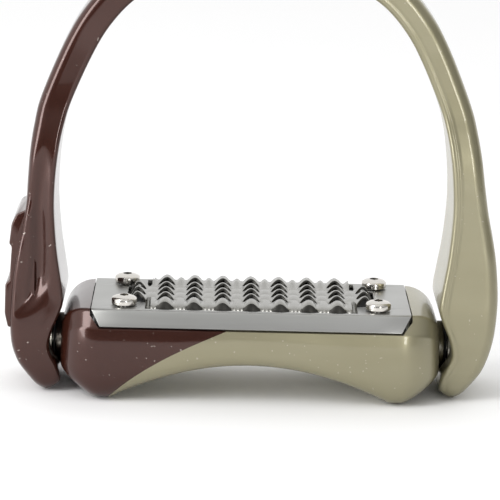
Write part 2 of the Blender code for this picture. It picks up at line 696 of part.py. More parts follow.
def hang_on_axis(axis):
    """Parent every tread piece to the tilt axis, each staying where it is."""
    for made in list(bpy.context.scene.collection.objects):
        if made.name.startswith(TREAD_PIECES) and not made.hide_render:
            made.parent = axis
            made.matrix_parent_inverse = Matrix.Translation((0.0, 0.0, -PIVOT_HEIGHT))


def main():
    clear_scene()
    tilt_axis = bpy.data.objects.new("tread_tilt_axis", None)
    tilt_axis.location = (0.0, 0.0, PIVOT_HEIGHT)
    bpy.context.scene.collection.objects.link(tilt_axis)
    arch_frame()
    tread_body()
    cover_tray()
    rasp_plate()
    rubber_pad()
    for name, x, y in screw_places():
        plate_screw(name, x, y)
        thread_insert(name, x, y)
    for side_name, side in SIDES:
        bush_parts(side_name, side)
    hang_on_axis(tilt_axis)


main()
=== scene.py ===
"""Stirrup iron: a two-tone lacquered arch over a sprung tread with a steel grip."""
import math

import bmesh
import bpy
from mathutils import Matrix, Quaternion, Vector


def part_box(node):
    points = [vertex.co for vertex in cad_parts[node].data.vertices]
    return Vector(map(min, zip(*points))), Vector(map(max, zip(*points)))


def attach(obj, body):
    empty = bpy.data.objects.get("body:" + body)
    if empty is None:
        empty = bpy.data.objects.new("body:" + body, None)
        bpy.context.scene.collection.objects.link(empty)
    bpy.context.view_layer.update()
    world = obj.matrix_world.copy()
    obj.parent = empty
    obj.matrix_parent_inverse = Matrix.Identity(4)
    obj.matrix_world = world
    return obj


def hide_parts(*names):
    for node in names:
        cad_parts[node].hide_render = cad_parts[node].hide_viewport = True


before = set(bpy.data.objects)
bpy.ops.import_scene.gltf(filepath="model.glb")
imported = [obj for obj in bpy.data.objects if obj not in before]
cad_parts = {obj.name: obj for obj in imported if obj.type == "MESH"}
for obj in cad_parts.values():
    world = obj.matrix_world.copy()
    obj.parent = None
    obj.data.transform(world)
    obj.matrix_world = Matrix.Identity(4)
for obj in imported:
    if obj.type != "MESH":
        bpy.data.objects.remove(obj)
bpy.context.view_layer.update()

SIDES = (("left", -1.0), ("right", 1.0))
SCREWS = ("front_left", "rear_left", "front_right", "rear_right")

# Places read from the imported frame
BODY_LOW, BODY_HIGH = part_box("tread_body")
TRAY_LOW, TRAY_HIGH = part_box("cover_tray")
SHEET_LOW, SHEET_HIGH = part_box("rasp_plate")
ARCH_LOW, ARCH_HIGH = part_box("arch_frame")
WASHER_LOW, WASHER_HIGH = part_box("clamp_washer_right")
PIVOT_HEIGHT = (WASHER_LOW[2] + WASHER_HIGH[2]) / 2
HALF_LENGTH = BODY_HIGH[0]
HALF_DEPTH = BODY_HIGH[1]
BODY_TOP = BODY_HIGH[2]
OVERALL_HEIGHT = ARCH_HIGH[2]
FIT_GAP = 0.0003
HUB_FACE = WASHER_HIGH[0] + FIT_GAP
HUB_WALL = 0.0042
HUB_HALF_DEPTH = ARCH_HIGH[1]

# Tread body
ARCH_RISE = 0.0122
FOOT_INSET_INNER = 0.0160
FOOT_INSET_OUTER = 0.0120
END_FACE_HALF_DEPTH = 0.0120
END_FACE_BOTTOM = 0.0085
END_FACE_TOP = 0.0195
END_ROUNDING = 0.0100
END_SQUARENESS = 2.3
END_FLARE = 1.3
DECK_HEIGHT = 0.0237
FLANGE_LEAN = 0.0034
SLEEVE_RADIUS = 0.0080
FLUSH_SHARE = 0.27
WIDEST_DROP = 0.0105
UNDER_CORNER = 0.0130
SIDE_CORNER = 0.0024
FLUSH_CORNER = 0.0006
SHOULDER_CORNER = 0.0012
END_INSETS = (0.0, 0.0001, 0.0004, 0.0009, 0.0016, 0.0025, 0.0036, 0.0049, 0.0064, 0.0080,
              0.0096, 0.0108, 0.0120, 0.0130, 0.0145, 0.0160)
SECTION_STEP = 0.0016
RECESS_HEIGHT = 0.010
POCKET_SIZE = (0.064, 0.027, 0.010)
POCKET_MIDDLE = 0.0214
POCKET_CORNER = 0.004
PIVOT_BORE_DEPTH = 0.0193
BORE_OVERRUN = 0.003

# Tray and grip
TRAY_TOP = TRAY_HIGH[2]
TRAY_THICKNESS = 0.0012
TRAY_HALF_LENGTH = TRAY_HIGH[0]
TRAY_HALF_DEPTH = 0.0204
TRAY_MITRE = 0.0030
SHEET_THICKNESS = 0.0008
SHEET_TOP = TRAY_TOP - TRAY_THICKNESS - FIT_GAP
SHEET_HALF_LENGTH = SHEET_HIGH[0]
SHEET_HALF_DEPTH = SHEET_HIGH[1]
TRAY_FOLD_RADIUS = 0.0008
TRAY_EDGE = 0.00018
WINDOW_MARGIN = 0.0015
RIDGE_HEIGHT = SHEET_HIGH[2] - SHEET_TOP
RIDGE_WIDTH = 0.0056
RIDGE_PITCH = 0.00905
RIDGE_COUNT = 9
GAP_RISE = 0.0020
SLOT_HALF = 0.0029
SLOT_PITCH = 0.0067
SHORT_HALF_DEPTH = 0.0098
PLATE_EDGE = 0.00014
SLOT_POINT = 0.45

# Screws, bolts and rings
SCREW_HOLE = 0.0023
SCREW_SHANK = 0.0020
SCREW_SOCKET = 0.0015
BOLT_SHANK = 0.0025
BOLT_HEAD_HEIGHT = 0.0024
BOLT_SOCKET = 0.0023
SOCKET_TOOL_LENGTH = 0.004
TIP_LENGTH = 0.0006
TIP_SHARE = 0.8
SLEEVE_BORE = 0.0072
SEAL_BORE = 0.0047
WASHER_BORE = 0.0046
LOCK_WASHER_BORE = 0.0028

# Arch
ARM_HALF_DEPTH = 0.0090
EYE_HEIGHT = 0.0260
EYE_SLOT_HALF = 0.0140
EYE_SLOT_HEIGHT = 0.0080
EYE_BAR = 0.0080
EYE_SLOT_CORNER = 0.0022
HUB_OUTSIDE = HUB_FACE + 0.0130
HUB_SPOT_CLEARANCE = 0.0007
HUB_BOLT_HOLE = 0.0028
HUB_COUNTERBORE = 0.0051
HUB_TOOL_OVERRUN = 0.004
INNER_EDGE_RADIUS = 0.0015
OUTER_EDGE_RADIUS = 0.0034
BADGE_SIDE_TRIM = 0.0014
BADGE_STARTS = (0.018, 0.026)
BADGE_ENDS = (0.056, 0.064)
FINE_SPACING = 0.0003
EDGE_LINE_DEPTH = 0.00018
EDGE_LINE_INSET = 0.0009
EDGE_LINE_WIDTH = 0.0004
SECTION_DIVISIONS = 6
BADGE_FOOT_HALF_DEPTH = 0.0150
BADGE_FOOT_HEIGHT = 0.020
BADGE_TAPER = 0.062
BADGE_EDGE = 0.0009


# ------------------------------------------------------------------ shop tools
def deselect():
    if bpy.context.mode != "OBJECT":
        bpy.ops.object.mode_set(mode="OBJECT")
    bpy.ops.object.select_all(action="DESELECT")


def started(name, add, scale=(1.0, 1.0, 1.0), **settings):
    """Add a primitive, give it its name and put its place into its mesh."""
    deselect()
    add(**settings)
    piece = bpy.context.object
    piece.name = name
    piece.data.name = name
    piece.scale = scale
    bpy.ops.object.transform_apply(location=True, rotation=True, scale=True)
    return piece


def edit(kind="FACE"):
    bpy.ops.object.mode_set(mode="EDIT")
    bpy.ops.mesh.select_mode(type=kind)


def done():
    bpy.ops.object.mode_set(mode="OBJECT")


def middle(face):
    return face.calc_center_median()


def pick(kind, test):
    """Select the edit-mode verts, edges or faces that pass a test, and nothing else."""
    bpy.ops.mesh.select_mode(type=kind)
    bpy.ops.mesh.select_all(action="DESELECT")
    shape = bmesh.from_edit_mesh(bpy.context.object.data)
    items = {"VERT": shape.verts, "EDGE": shape.edges, "FACE": shape.faces}[kind]
    for item in items:
        if test(item):
            item.select_set(True)
    shape.select_flush_mode()
    bmesh.update_edit_mesh(bpy.context.object.data)


def hold(piece):
    """Select one piece and nothing else."""
    deselect()
    piece.select_set(True)
    bpy.context.view_layer.objects.active = piece


def modify(piece, kind, **settings):
    """Add a modifier with its settings and apply it."""
    hold(piece)
    step = piece.modifiers.new(kind.lower(), kind)
    for key, value in settings.items():
        setattr(step, key, value)
    bpy.ops.object.modifier_apply(modifier=step.name)


def soften(piece, width, segments=2, angle=38.0):
    """Round a piece's edges that are sharper than an angle."""
    modify(piece, "BEVEL", width=width, segments=segments, limit_method="ANGLE",
           angle_limit=math.radians(angle), use_clamp_overlap=True)


def shade(piece, angle=38.0):
    """Shade a piece smooth, except across edges sharper than an angle."""
    hold(piece)
    bpy.ops.object.shade_smooth_by_angle(angle=math.radians(angle))


def cut_with(piece, tool, operation="DIFFERENCE"):
    """Cut a piece with a tool, or join the two, and put the tool away."""
    modify(piece, "BOOLEAN", operation=operation, object=tool, solver="EXACT")
    bpy.data.objects.remove(tool, do_unlink=True)


def twin(piece, name, shift):
    """Copy a piece with its own mesh, moved by a shift."""
    hold(piece)
    bpy.ops.object.duplicate(linked=False)
    copy = bpy.context.object
    copy.name = name
    copy.data.name = name
    copy.location = shift
    bpy.ops.object.transform_apply(location=True, rotation=False, scale=False)
    return copy


def spun(name, profile, place, side=1.0, upright=False, steps=48):
    """Draw a profile of (distance along the axis, radius) points and spin it round."""
    piece = started(name, bpy.ops.mesh.primitive_plane_add, size=0.002)
    edit("VERT")
    bpy.ops.mesh.select_all(action="SELECT")
    bpy.ops.mesh.merge(type="CENTER")
    points = [Vector((side * along, 0.0, radius)) for along, radius in profile]
    bpy.ops.transform.translate(value=points[0])
    for near, far in zip(points, points[1:]):
        bpy.ops.mesh.extrude_vertices_move(TRANSFORM_OT_translate={"value": far - near})
    if profile[0][1] > 0.0:
        pick("VERT", lambda v: min((v.co - points[0]).length, (v.co - points[-1]).length) < 1e-7)
        bpy.ops.mesh.edge_face_add()
    bpy.ops.mesh.select_all(action="SELECT")
    bpy.ops.mesh.spin(steps=steps, angle=2 * math.pi, center=(0, 0, 0), axis=(1, 0, 0))
    bpy.ops.mesh.select_all(action="SELECT")
    bpy.ops.mesh.remove_doubles(threshold=0.000002)
    bpy.ops.mesh.normals_make_consistent(inside=False)
    done()
    if upright:
        piece.rotation_euler = (0.0, -math.pi / 2, 0.0)
    piece.location = place
    bpy.ops.object.transform_apply(location=True, rotation=True, scale=True)
    return piece


def skinned(name, rings):
    """Join rings of equal point count into one closed skin with flat ends."""
    shape = bmesh.new()
    loops = [[shape.verts.new(point) for point in ring] for ring in rings]
    for near, far in zip(loops, loops[1:]):
        for index in range(len(near)):
            after = (index + 1) % len(near)
            shape.faces.new((near[index], near[after], far[after], far[index]))
    shape.faces.new(loops[0])
    shape.faces.new(loops[-1])
    bmesh.ops.recalc_face_normals(shape, faces=shape.faces)
    mesh = bpy.data.meshes.new(name)
    shape.to_mesh(mesh)
    shape.free()
    piece = bpy.data.objects.new(name, mesh)
    bpy.context.scene.collection.objects.link(piece)
    return piece


def settle(piece, body, slot, look, *nodes):
    """Give a piece its finish, the body it rides on and the nodes it stands for."""
    if not piece.data.materials:
        piece.data.materials.append(look)
    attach(piece, body)
    if nodes:
        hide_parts(*nodes)


def foot_of(node):
    """The middle of an upright piece, on the plane of the floor."""
    low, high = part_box(node)
    return ((low[0] + high[0]) / 2, (low[1] + high[1]) / 2, 0.0)


def screw_holes(piece, bottom, top):
    """Drill a sheet for the four plate screws."""
    profile = [(bottom, 0.0), (bottom, SCREW_HOLE), (top, SCREW_HOLE), (top, 0.0)]
    for name in SCREWS:
        place = foot_of(f"plate_screw_{name}")
        cut_with(piece, spun("drill_tool", profile, place, upright=True, steps=32))


# ------------------------------------------------------------------- finishes
class Bench:
    """One material's nodes, built a node at a time."""

    def __init__(self, name, roughness, metallic=0.0, **constants):
        self.material = bpy.data.materials.new(name)
        self.material.use_nodes = True
        self.nodes = self.material.node_tree.nodes
        self.links = self.material.node_tree.links
        self.shader = self.nodes["Principled BSDF"]
        self.shader.inputs["Roughness"].default_value = roughness
        self.shader.inputs["Metallic"].default_value = metallic
        for key, value in constants.items():
            self.shader.inputs[key.replace("_", " ")].default_value = value
        self.place = self.node("TexCoord").outputs["Object"]

    def node(self, kind, settings=(), **inputs):
        made = self.nodes.new("ShaderNode" + kind)
        for key, value in dict(settings).items():
            setattr(made, key, value)
        for key, value in inputs.items():
            socket = made.inputs[int(key[1:])] if key[1:].isdigit() else made.inputs[
                key.replace("_", " ")]
            if isinstance(value, bpy.types.NodeSocket):
                self.links.new(value, socket)
            else:
                socket.default_value = value
        return made

    def math(self, operation, first, second=0.0):
        return self.node("Math", {"operation": operation}, i0=first, i1=second).outputs[0]

    def noise(self, scale, detail=3.0, stretch=(1.0, 1.0, 1.0)):
        spread = self.node("Mapping", Vector=self.place, Scale=stretch).outputs[0]
        return self.node("TexNoise", Vector=spread, Scale=scale, Detail=detail).outputs[0]

    def band(self, value, low, high, start=0.0, stop=1.0):
        return self.node("MapRange", Value=value, From_Min=low, From_Max=high, To_Min=start,
                         To_Max=stop).outputs[0]

    def mixed(self, share, first, second):
        made = self.node("Mix", {"data_type": "RGBA"}, i0=share)
        for socket, value in ((made.inputs[6], first), (made.inputs[7], second)):
            if isinstance(value, bpy.types.NodeSocket):
                self.links.new(value, socket)
            else:
                socket.default_value = (*value, 1.0)
        return made.outputs[2]

    def feed(self, name, value):
        self.links.new(value, self.shader.inputs[name])

    def bump(self, height, distance, strength=1.0):
        made = self.node("Bump", Height=height, Distance=distance, Strength=strength)
        self.feed("Normal", made.outputs[0])

    def xyz(self):
        return self.node("SeparateXYZ", Vector=self.place).outputs


MAROON = (0.052, 0.0165, 0.010)
MAROON_DEEP = (0.042, 0.011, 0.007)
CHAMPAGNE = (0.255, 0.232, 0.142)
CHAMPAGNE_PALE = (0.305, 0.283, 0.190)
SPECK = (0.62, 0.56, 0.50)
SPECK_STRENGTH = 0.38
MAROON_METALLIC, CHAMPAGNE_METALLIC = 0.42, 0.62
MAROON_ROUGHNESS, CHAMPAGNE_ROUGHNESS = 0.20, 0.34
PAINT_LINE_BLUR = 0.00012
TREAD_LINE_TOP = 0.023
TREAD_LINE_PLACE = 0.0096
TREAD_LINE_LEAN = 2.35
TREAD_LINE_CURVE = 35.0
CROWN_LINE_HEIGHTS = (0.136, 0.162)
CROWN_LINE_REACH = 0.008


def lacquer(name, split):
    """Maroon lacquer to the left of a line and pearl champagne to the right of it."""
    bench = Bench(name, 0.28, Coat_Weight=0.48, Coat_Roughness=0.04, IOR=1.45)
    x, _, z = bench.xyz()
    beyond = split(bench, x, z)
    share = bench.band(beyond, -PAINT_LINE_BLUR, PAINT_LINE_BLUR)
    cloud = bench.noise(28.0, 2.0)
    swirl = bench.noise(60.0, 4.0, (0.35, 1.0, 1.6))
    flake = bench.noise(2600.0, 1.0)
    maroon = bench.mixed(cloud, MAROON_DEEP, MAROON)
    champagne = bench.mixed(swirl, CHAMPAGNE, CHAMPAGNE_PALE)
    speck = bench.band(bench.noise(1100.0, 0.0), 0.825, 0.84, 0.0, SPECK_STRENGTH)
    colour = bench.mixed(share, maroon, champagne)
    bench.feed("Base Color", bench.mixed(speck, colour, SPECK))
    bench.feed("Metallic", bench.band(share, 0.0, 1.0, MAROON_METALLIC, CHAMPAGNE_METALLIC))
    grain = bench.band(flake, 0.3, 0.7, -0.04, 0.04)
    gloss = bench.band(share, 0.0, 1.0, MAROON_ROUGHNESS, CHAMPAGNE_ROUGHNESS)
    bench.feed("Roughness", bench.math("ADD", gloss, grain))
    peel = bench.math("ADD", bench.noise(90.0, 2.0), bench.math("MULTIPLY", flake, 0.05))
    bench.bump(peel, 0.00012, 0.5)
    return bench.material


def tread_line(bench, x, z):
    """The paint line on the tread falls from the tray's front edge to the left foot."""
    drop = bench.math("SUBTRACT", TREAD_LINE_TOP, z)
    curve = bench.math("MULTIPLY", drop, TREAD_LINE_CURVE)
    lean = bench.math("MULTIPLY", drop, bench.math("SUBTRACT", TREAD_LINE_LEAN, curve))
    return bench.math("ADD", bench.math("ADD", x, TREAD_LINE_PLACE), lean)


def crown_line(bench, x, z):
    """The paint line on the arch crosses the crown at a slant."""
    slant = bench.band(z, *CROWN_LINE_HEIGHTS, -CROWN_LINE_REACH, CROWN_LINE_REACH)
    return bench.math("ADD", x, slant)


def brushed(name, colour, pale, roughness, stretch, scale=220.0, depth=0.00003):
    """Steel with a fine grain drawn out along one direction."""
    bench = Bench(name, roughness, 1.0)
    grain = bench.noise(scale, 5.0, stretch)
    cloud = bench.noise(24.0, 2.0)
    tone = bench.math("ADD", bench.math("MULTIPLY", grain, 0.6),
                      bench.math("MULTIPLY", cloud, 0.4))
    bench.feed("Base Color", bench.mixed(tone, colour, pale))
    bench.feed("Roughness", bench.band(grain, 0.2, 0.8, roughness - 0.06, roughness + 0.08))
    bench.bump(grain, depth, 0.6)
    return bench.material


def rubber(name):
    """Matt black rubber with a fine grain."""
    bench = Bench(name, 0.7, Specular_IOR_Level=0.35)
    grain = bench.noise(900.0, 4.0)
    bench.feed("Base Color", bench.mixed(bench.noise(60.0), (0.010, 0.010, 0.011),
                                         (0.026, 0.025, 0.025)))
    bench.feed("Roughness", bench.band(grain, 0.3, 0.7, 0.58, 0.82))
    bench.bump(grain, 0.00006, 0.5)
    return bench.material


TREAD_LACQUER = lacquer("tread_lacquer", tread_line)
ARCH_LACQUER = lacquer("arch_lacquer", crown_line)
TRAY_STEEL = brushed("brushed_tray_steel", (0.32, 0.32, 0.305), (0.47, 0.47, 0.46), 0.34,
                     (0.05, 1.0, 1.0))
GRIP_STEEL = brushed("grip_steel", (0.22, 0.215, 0.20), (0.42, 0.415, 0.39), 0.25,
                     (1.0, 0.3, 1.0), 160.0)
# Near-black steel: painted shade for the grip's ridge front walls, its cut rims and its underside
SHADE_PAINTED_STEEL = brushed("shade_painted_steel", (0.022, 0.021, 0.019), (0.085, 0.083, 0.076), 0.45,
                     (0.3, 1.0, 1.0), 240.0)
SCREW_STEEL = brushed("screw_steel", (0.54, 0.52, 0.48), (0.72, 0.69, 0.65), 0.17,
                      (1.0, 1.0, 0.25), 300.0, 0.00001)
RING_STEEL = brushed("ring_steel", (0.23, 0.22, 0.19), (0.38, 0.365, 0.32), 0.20,
                     (1.0, 0.2, 0.2), 260.0, 0.00001)
ZINC = brushed("zinc_plate", (0.46, 0.42, 0.31), (0.62, 0.58, 0.45), 0.34,
               (1.0, 1.0, 1.0), 180.0)
RUBBER = rubber("black_rubber")


# ------------------------------------------------------------------ tread body
def body_bottom(x):
    """Underside height: an arch between the feet, flat feet, then a rising end."""
    foot_inner = HALF_LENGTH - FOOT_INSET_INNER
    foot_outer = HALF_LENGTH - FOOT_INSET_OUTER
    if x <= foot_inner:
        return ARCH_RISE * (1 - (x / foot_inner) ** 2)
    if x <= foot_outer:
        return 0.0
    return END_FACE_BOTTOM * ((x - foot_outer) / FOOT_INSET_OUTER) ** END_FLARE


def body_top(x):
    """Top height: flat, then rounding down to the end face."""
    start = HALF_LENGTH - END_ROUNDING + 0.0004
    if x <= start:
        return BODY_TOP
    share = min(1.0, (x - start) / (HALF_LENGTH - start))
    fall = (1 - share ** END_SQUARENESS) ** (1 / END_SQUARENESS)
    return END_FACE_TOP + (BODY_TOP - END_FACE_TOP) * fall


def body_half_depth(x):
    """Half depth: even, then rounding in to the end face."""
    corner = HALF_DEPTH - END_FACE_HALF_DEPTH
    start = HALF_LENGTH - corner
    if x <= start:
        return HALF_DEPTH
    share = min(1.0, (x - start) / corner)
    return END_FACE_HALF_DEPTH + corner * math.sqrt(1 - share ** 2)


def rounded_line(points, cuts, steps):
    """Follow a line of (y, z) points, turning each inner corner on a short curve."""
    line = [points[0]]
    for index in range(1, len(points) - 1):
        before, here, after = (Vector(points[index + shift]) for shift in (-1, 0, 1))
        cut = min(cuts[index - 1], (before - here).length * 0.48, (after - here).length * 0.48)
        start = here + (before - here).normalized() * cut
        stop = here + (after - here).normalized() * cut
        for step in range(steps + 1):
            t = step / steps
            line.append(tuple(start * (1 - t) ** 2 + here * 2 * t * (1 - t) + stop * t ** 2))
    return line + [points[-1]]


def body_ring(x):
    """One cross-section of the tread body, all the way round."""
    low = body_bottom(abs(x))
    top = body_top(abs(x))
    deep = body_half_depth(abs(x))
    flush_drop = min(BODY_TOP - DECK_HEIGHT, FLUSH_SHARE * (top - low))
    widest_drop = min(WIDEST_DROP, 0.48 * (top - low))
    flush = deep * (TRAY_HALF_DEPTH + FLANGE_LEAN + TRAY_THICKNESS * 0.3) / HALF_DEPTH
    corner = min(UNDER_CORNER, (top - widest_drop - low) * 1.2, deep * 0.55)
    shoulder = deep * TRAY_HALF_DEPTH / HALF_DEPTH
    points = [(0.0, low), (deep, low), (deep, top - widest_drop), (flush, top - flush_drop),
              (shoulder, top), (0.0, top)]
    half = rounded_line(points, (corner, SIDE_CORNER, FLUSH_CORNER, SHOULDER_CORNER), 7)
    mirrored = [(-y, z) for y, z in reversed(half[1:-1])]
    return [(x, y, z) for y, z in half + mirrored]


def stations(reach, insets, step):
    """Places from one end to the other, close together near both ends."""
    half = [reach - inset for inset in insets]
    count = round(half[-1] / step)
    half += [half[-1] * (1 - index / count) for index in range(1, count)]
    return [-x for x in half] + [0.0] + list(reversed(half))


def tread_body():
    """The two-tone body, with its tray seat, pocket, pivot bores and insert holes."""
    places = stations(HALF_LENGTH, END_INSETS, SECTION_STEP)
    body = skinned("lacquered_tread", [body_ring(x) for x in places])
    reach = TRAY_HALF_LENGTH + FIT_GAP
    wide = TRAY_HALF_DEPTH + 2 * FLANGE_LEAN
    recess = started("recess_tool", bpy.ops.mesh.primitive_cube_add, size=1.0,
                     location=(0.0, 0.0, DECK_HEIGHT + RECESS_HEIGHT / 2),
                     scale=(2 * reach, 2 * wide, RECESS_HEIGHT))
    edit("EDGE")
    pick("EDGE", lambda e: abs(e.verts[0].co.z - e.verts[1].co.z) > 0.001)
    bpy.ops.mesh.bevel(offset=2 * TRAY_MITRE, segments=1, affect="EDGES")
    done()
    cut_with(body, recess)
    pocket = started("pocket_tool", bpy.ops.mesh.primitive_cube_add, size=1.0,
                     location=(0.0, 0.0, POCKET_MIDDLE), scale=POCKET_SIZE)
    soften(pocket, POCKET_CORNER, 4)
    cut_with(body, pocket)
    bore = SLEEVE_RADIUS + FIT_GAP
    inside = HALF_LENGTH - PIVOT_BORE_DEPTH
    outside = HALF_LENGTH + BORE_OVERRUN
    profile = [(inside, 0.0), (inside, bore), (outside, bore), (outside, 0.0)]
    for _, side in SIDES:
        cut_with(body, spun("bore_tool", profile, (0, 0, PIVOT_HEIGHT), side))
    for name in SCREWS:
        low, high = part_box(f"thread_insert_{name}")
        radius = (high[0] - low[0]) / 2 + FIT_GAP
        profile = [(low[2] - 0.001, 0.0), (low[2] - 0.001, radius), (BODY_TOP, radius),
                   (BODY_TOP, 0.0)]
        place = foot_of(f"thread_insert_{name}")
        cut_with(body, spun("insert_tool", profile, place, upright=True, steps=32))
    shade(body, 32.0)
    settle(body, "tread", "tread_body", TREAD_LACQUER, "tread_body")


# ---------------------------------------------------------------- folded tray
def bisected(lines, axis):
    """Cut the whole edited mesh across at each line."""
    normal = tuple(float(index == axis) for index in range(3))
    for place in lines:
        bpy.ops.mesh.select_all(action="SELECT")
        point = tuple(place * part for part in normal)
        bpy.ops.mesh.bisect(plane_co=point, plane_no=normal)


def cover_tray():
    """A sheet with a stepped window, folded down along both long edges."""
    tray = started("brushed_tray", bpy.ops.mesh.primitive_plane_add, size=1.0,
                   location=(0, 0, TRAY_TOP), scale=(2 * TRAY_HALF_LENGTH, 2 * TRAY_HALF_DEPTH, 1))
    reach = RIDGE_PITCH * (RIDGE_COUNT - 1) / 2
    full = reach - RIDGE_WIDTH / 2
    end = reach + RIDGE_WIDTH / 2 + 0.0004
    deep = TRAY_HALF_DEPTH - WINDOW_MARGIN
    short = SHORT_HALF_DEPTH + 0.0006
    edit("FACE")
    bisected((-end, -full, full, end), 0)
    bisected((-deep, -short, short, deep), 1)
    pick("FACE", lambda f: (abs(middle(f).x) < full and abs(middle(f).y) < deep)
         or (abs(middle(f).x) < end and abs(middle(f).y) < short))
    bpy.ops.mesh.delete(type="FACE")
    for side in (-1.0, 1.0):
        edge = TRAY_HALF_DEPTH - 0.00001
        pick("EDGE", lambda e: all(side * v.co.y > edge and v.co.z > TRAY_TOP - 0.001
                                   for v in e.verts))
        fall = DECK_HEIGHT + 0.0006 - TRAY_TOP
        bpy.ops.mesh.extrude_region_move(
            TRANSFORM_OT_translate={"value": (0.0, side * FLANGE_LEAN, fall)})
        mitre = (TRAY_HALF_LENGTH - TRAY_MITRE) / TRAY_HALF_LENGTH
        corner = TRAY_HALF_LENGTH - 0.0001
        pick("VERT", lambda v: v.co.z < TRAY_TOP - 0.001 and abs(v.co.x) > corner)
        bpy.ops.transform.resize(value=(mitre, 1.0, 1.0), center_override=(0.0, 0.0, 0.0))
    pick("EDGE", lambda e: all(abs(abs(v.co.y) - TRAY_HALF_DEPTH) < 0.00001 for v in e.verts))
    bpy.ops.mesh.bevel(offset=TRAY_FOLD_RADIUS, segments=4, affect="EDGES")
    bpy.ops.mesh.select_all(action="SELECT")
    bpy.ops.mesh.normals_make_consistent(inside=False)
    pick("FACE", lambda f: f.normal.z < -0.1)
    bpy.ops.mesh.flip_normals()
    done()
    modify(tray, "SOLIDIFY", thickness=TRAY_THICKNESS, offset=-1.0, use_even_offset=True)
    screw_holes(tray, TRAY_TOP - 0.003, TRAY_TOP + 0.002)
    soften(tray, TRAY_EDGE, 2)
    shade(tray)
    settle(tray, "tread", "cover_tray", TRAY_STEEL, "cover_tray")


# ----------------------------------------------------------------- grip plate
SLOT_SHARES = (0.2, 0.4, 0.6, 0.8, 1.0)
SLOT_ROWS = tuple(SLOT_PITCH * place for place in (-1.5, -0.5, 0.5, 1.5))
FIRST_RIDGE = -RIDGE_PITCH * (RIDGE_COUNT - 1) / 2
PLEATS = (-0.0012, -0.0006, 0.0, 0.0006, 0.0012)
WALL_TOP = SHEET_HALF_DEPTH - 0.0012
WALL_SHOULDER = SHEET_HALF_DEPTH - 0.0022
LAST_RIB = 0.0143
WALL_SHARE = 0.80
RIB_FRONT_SHARE = 0.97
RIB_BACK_SHARE = 1.0
RIB_MIDDLE_SHARE = 0.95
RIDGE_POINT = 1.25
GAP_SWAY = 0.0004
GAP_DOME = 0.0002
REAR_GAP_DOME = 0.0011
REAR_GAP_START = 0.0125
PLEAT_DEPTH = 0.0004


def row_share(y):
    """Height share along a ridge: each rib stands tallest at its front edge."""
    if abs(y) > WALL_SHOULDER + 0.0001:
        return WALL_SHARE
    for slot in SLOT_ROWS:
        if abs(y - slot - SLOT_HALF) < 0.0001:
            return RIB_FRONT_SHARE
        if abs(y - slot + SLOT_HALF) < 0.0001:
            return RIB_BACK_SHARE
    return RIB_MIDDLE_SHARE


def sheet_rise(x, y):
    """Rise of the grip sheet above its flat rim at a place."""
    if abs(y) > WALL_TOP + 0.0001 or abs(x) > SHEET_HALF_LENGTH - 0.0001:
        return 0.0
    number = max(0, min(RIDGE_COUNT - 1, round((x - FIRST_RIDGE) / RIDGE_PITCH)))
    centre = FIRST_RIDGE + number * RIDGE_PITCH
    across = abs(x - centre) / (RIDGE_WIDTH / 2)
    short = number in (0, RIDGE_COUNT - 1)
    outward = short and abs(x) > abs(centre)
    if short and abs(y) > SHORT_HALF_DEPTH - 0.0001:
        return 0.0
    if outward and across > 0.999:
        return 0.0
    foot = 0.0 if outward else GAP_RISE + GAP_SWAY * (row_share(y) - 0.9) * 5
    if across > 0.999:
        dome = REAR_GAP_DOME if y > REAR_GAP_START else GAP_DOME
        share = (across - 1.0) / (RIDGE_PITCH / RIDGE_WIDTH - 1.0)
        return foot + dome * math.sin(share * math.pi / 2) ** 2
    arch = math.cos(across * math.pi / 2) ** RIDGE_POINT
    return foot + (RIDGE_HEIGHT - foot) * arch * row_share(y)


def ridge_across(x):
    """Place across the nearest ridge: 0 at its middle and 1 at its foot."""
    number = max(0, min(RIDGE_COUNT - 1, round((x - FIRST_RIDGE) / RIDGE_PITCH)))
    return (x - FIRST_RIDGE - number * RIDGE_PITCH) / (RIDGE_WIDTH / 2)


def in_slot(x, y):
    """Whether a place lies in one of the slots cut across the ridges."""
    number = round((x - FIRST_RIDGE) / RIDGE_PITCH)
    if not 0 <= number < RIDGE_COUNT:
        return False
    if abs(x - FIRST_RIDGE - number * RIDGE_PITCH) > RIDGE_WIDTH / 2:
        return False
    if number in (0, RIDGE_COUNT - 1) and abs(y) > SHORT_HALF_DEPTH - 0.0003:
        return False
    return any(abs(y - slot) < SLOT_HALF for slot in SLOT_ROWS)


